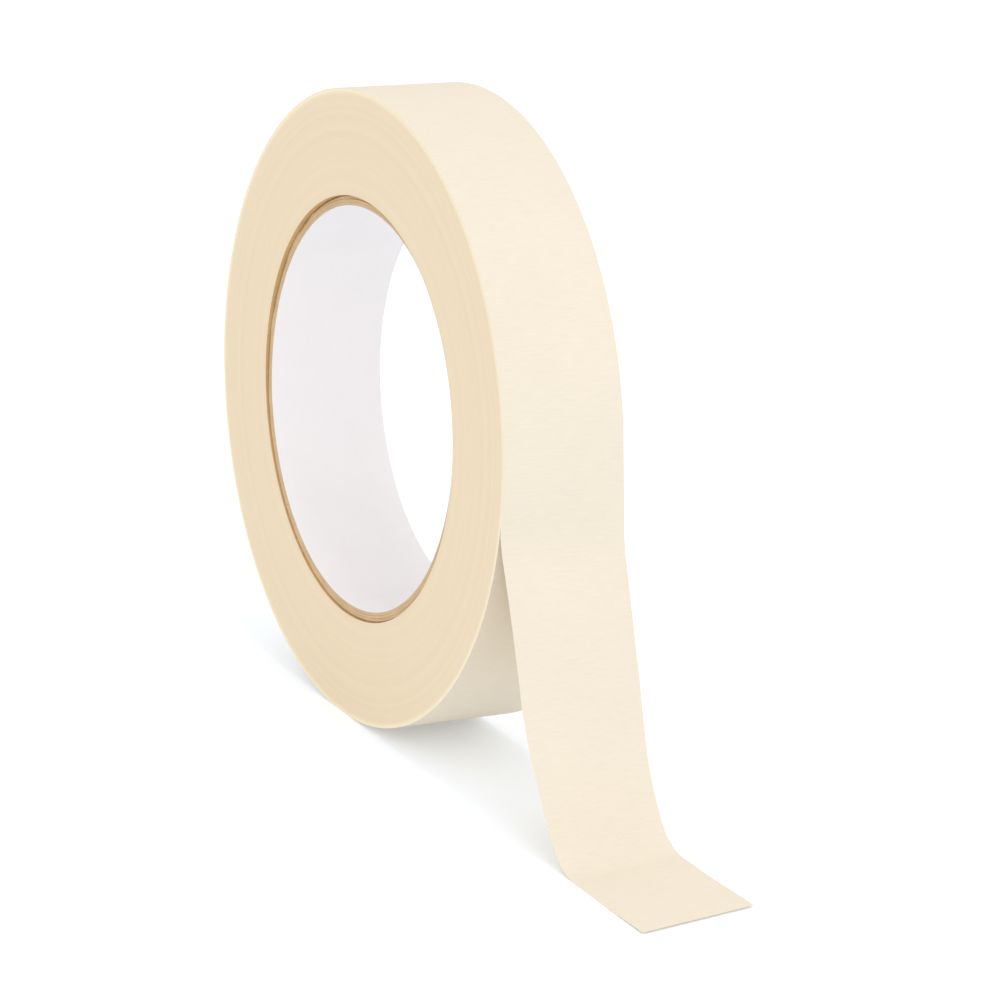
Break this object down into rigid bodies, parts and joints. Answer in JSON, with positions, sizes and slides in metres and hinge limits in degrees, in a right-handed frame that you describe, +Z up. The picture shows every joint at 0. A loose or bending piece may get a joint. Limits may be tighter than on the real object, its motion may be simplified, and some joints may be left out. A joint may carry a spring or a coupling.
{
  "type": "masking tape roll",
  "caption": "Roll of crepe-paper masking tape on a paperboard core, standing on its rim with its free end drawn off on to the floor.",
  "frame": {"origin": "centre of the core's bore, halfway across the tape's width", "axes": "+Y along the bore, +Z up from the floor that the roll stands on, +X towards the free end of the tape"},
  "size_m": [0.1775, 0.024, 0.12],
  "materials": {
    "white_liner": "matte",
    "chipboard": "matte",
    "kraft_ply": "matte",
    "crepe_paper": "matte",
    "adhesive": "satin"
  },
  "bodies": {
    "roll": {"core_liner": "white_liner", "core_ply_1": "chipboard", "core_ply_2": "chipboard", "core_ply_3": "chipboard", "core_outer_ply": "kraft_ply", "wound_tape": "crepe_paper"},
    "outer_wrap": {"outer_wrap_adhesive": "adhesive", "outer_wrap_backing": "crepe_paper"},
    "tail_upper": {"tail_upper_adhesive": "adhesive", "tail_upper_backing": "crepe_paper"},
    "tail_middle": {"tail_middle_adhesive": "adhesive", "tail_middle_backing": "crepe_paper"},
    "tail_lower": {"tail_lower_adhesive": "adhesive", "tail_lower_backing": "crepe_paper"},
    "tail_end": {"tail_end_adhesive": "adhesive", "tail_end_backing": "crepe_paper"}
  },
  "joints": [
    {"name": "unwind", "type": "hinge", "parent": "roll", "child": "outer_wrap", "pos_m": [0, 0, 0], "axis": [0, -1, 0], "continuous": true},
    {"name": "tail_peel", "type": "hinge", "parent": "outer_wrap", "child": "tail_upper", "pos_m": [0.05948, 0, 0.00836], "axis": [0, -1, 0], "range_deg": [0, 120]},
    {"name": "upper_bend", "type": "hinge", "parent": "tail_upper", "child": "tail_middle", "pos_m": [0.0622, 0, -0.01023], "axis": [0, -1, 0], "range_deg": [0, 25]},
    {"name": "lower_bend", "type": "hinge", "parent": "tail_middle", "child": "tail_lower", "pos_m": [0.07108, 0, -0.03492], "axis": [0, -1, 0], "range_deg": [0, 25]},
    {"name": "foot_bend", "type": "hinge", "parent": "tail_lower", "child": "tail_end", "pos_m": [0.08698, 0, -0.05884], "axis": [0, -1, 0], "range_deg": [0, 40]}
  ]
}
